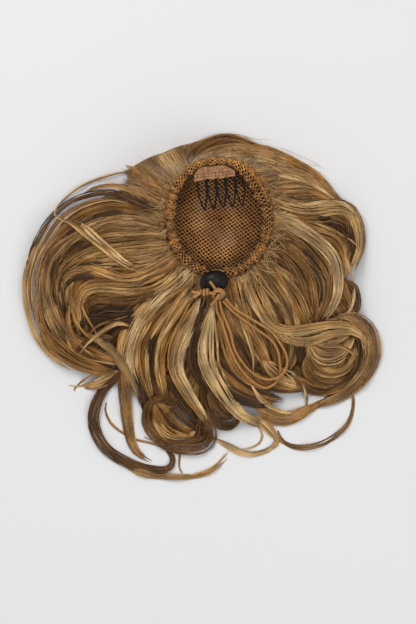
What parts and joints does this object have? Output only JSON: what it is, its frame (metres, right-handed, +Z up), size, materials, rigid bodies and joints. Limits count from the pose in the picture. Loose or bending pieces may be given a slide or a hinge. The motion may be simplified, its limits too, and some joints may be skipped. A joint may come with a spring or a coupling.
{
  "type": "hairpiece",
  "caption": "Drawstring hairpiece: a gathered net pocket with a wire comb, cord lock and knotted elastic cord, surrounded by long wavy hair.",
  "frame": {"origin": "on the resting face, under the middle of the net pocket", "axes": "+Z up out of the mouth of the pocket, +Y towards the comb, -Y towards the cord lock"},
  "size_m": [0.2517, 0.2419, 0.0605],
  "materials": {
    "net": "golden brown stretch net",
    "cord": "tan braided elastic cord",
    "bead": "satin black plastic",
    "wire": "black coated wire",
    "tape": "rosy tan woven tape",
    "hair": "wavy brown and blonde fibre with a soft sheen"
  },
  "bodies": {
    "root": {"net_cap": "net", "rim_casing": "net", "drawstring": "cord", "cord_lock": "bead", "drawstring_knot": "cord", "tail_knot": "cord", "cord_loop_left": "cord", "cord_loop_right": "cord", "comb": "wire", "comb_tape": "tape", "hair": "hair"}
  },
  "joints": []
}
